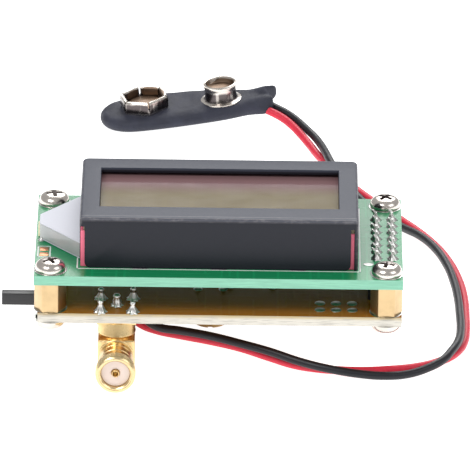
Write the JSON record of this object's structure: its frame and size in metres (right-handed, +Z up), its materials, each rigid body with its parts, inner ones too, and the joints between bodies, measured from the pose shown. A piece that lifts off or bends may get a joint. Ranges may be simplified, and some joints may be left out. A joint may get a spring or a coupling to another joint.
{
  "type": "frequency counter",
  "caption": "Bare stacked-board radio frequency counter with a small LCD, a right-angle RF jack and a 9 V battery snap at the end of two wires.",
  "frame": {"origin": "under the middle of the module's own outline, on the surface that it stands on", "axes": "+X to the right of the display, +Y away from the RF jack, +Z up out of the display"},
  "size_m": [0.0746, 0.1145, 0.0255],
  "materials": {
    "green_board": "green solder mask over glass-fibre laminate, glossy",
    "amber_board": "bare amber laminate with a clear glossy mask and a cream edge",
    "brass_standoff": "machined brass, satin",
    "nickel_screw": "nickel plated, satin",
    "tinned_metal": "tinned and soldered, bright",
    "black_plastic": "moulded black plastic, satin",
    "black_bezel": "black painted sheet steel, satin, paint scuffed at the bends",
    "display_glass": "unlit liquid crystal panel behind polished glass",
    "pink_elastomer": "soft layered elastomer, matt",
    "clear_guide": "clear acrylic, polished",
    "white_film": "white film or paint, matt",
    "led_body": "white moulded package",
    "gold_plate": "gold plated brass, bright",
    "ptfe": "white fluoropolymer, waxy",
    "trimmer_resin": "brown moulded resin",
    "brass_rotor": "turned brass",
    "switch_steel": "tin plated pressed steel",
    "fibre_board": "pressed fibre board",
    "black_epoxy": "moulded epoxy, fine matt",
    "blue_sleeve": "shrunk plastic sleeve",
    "diode_glass": "orange glass body with a dark band",
    "red_vinyl": "extruded vinyl insulation, satin gloss",
    "black_vinyl": "extruded vinyl insulation, satin gloss",
    "soft_vinyl": "soft dipped vinyl, dull",
    "snap_nickel": "nickel plated stamping, bright"
  },
  "bodies": {
    "module": {"upper_board": "green_board", "lower_board": "amber_board", "standoff_front_left": "brass_standoff", "top_screw_front_left": "nickel_screw", "bottom_screw_front_left": "nickel_screw", "standoff_front_right": "brass_standoff", "top_screw_front_right": "nickel_screw", "bottom_screw_front_right": "nickel_screw", "standoff_rear_left": "brass_standoff", "top_screw_rear_left": "nickel_screw", "bottom_screw_rear_left": "nickel_screw", "standoff_rear_right": "brass_standoff", "top_screw_rear_right": "nickel_screw", "bottom_screw_rear_right": "nickel_screw", "header_body": "black_plastic", "header_pin_01": "tinned_metal", "header_pin_02": "tinned_metal", "header_pin_03": "tinned_metal", "header_pin_04": "tinned_metal", "header_pin_05": "tinned_metal", "header_pin_06": "tinned_metal", "header_pin_07": "tinned_metal", "header_pin_08": "tinned_metal", "header_pin_09": "tinned_metal", "header_pin_10": "tinned_metal", "header_pin_11": "tinned_metal", "header_pin_12": "tinned_metal", "header_pin_13": "tinned_metal", "header_pin_14": "tinned_metal", "lcd_bezel": "black_bezel", "lcd_front_glass": "display_glass", "lcd_rear_glass": "display_glass", "zebra_strip_front": "pink_elastomer", "zebra_strip_rear": "pink_elastomer", "light_guide": "clear_guide", "light_film_top": "white_film", "light_film_bottom": "white_film", "backlight_led": "led_body", "sma_body": "gold_plate", "sma_insulator": "ptfe", "sma_contact": "gold_plate", "trimmer_base": "trimmer_resin", "switch_frame": "switch_steel", "switch_base": "fibre_board", "microcontroller": "black_epoxy", "ic_socket": "black_plastic", "prescaler_chip": "black_epoxy", "voltage_regulator": "black_epoxy", "crystal": "switch_steel", "electrolytic_capacitor": "blue_sleeve", "supply_diode": "diode_glass", "wire_red": "red_vinyl", "wire_black": "black_vinyl", "snap_cover": "soft_vinyl", "snap_plate": "fibre_board", "snap_socket": "snap_nickel", "snap_stud": "snap_nickel"},
    "slide_handle": {"switch_slider": "black_plastic"},
    "trimmer_screw": {"trimmer_rotor": "brass_rotor"}
  },
  "joints": [
    {"name": "power_slide", "type": "slide", "parent": "module", "child": "slide_handle", "axis": [0, 1, 0], "range_m": [0, 0.002]},
    {"name": "trimmer_turn", "type": "hinge", "parent": "module", "child": "trimmer_screw", "pos_m": [0.00146, -0.00195, 0.0054], "axis": [0, 0, 1], "continuous": true}
  ]
}
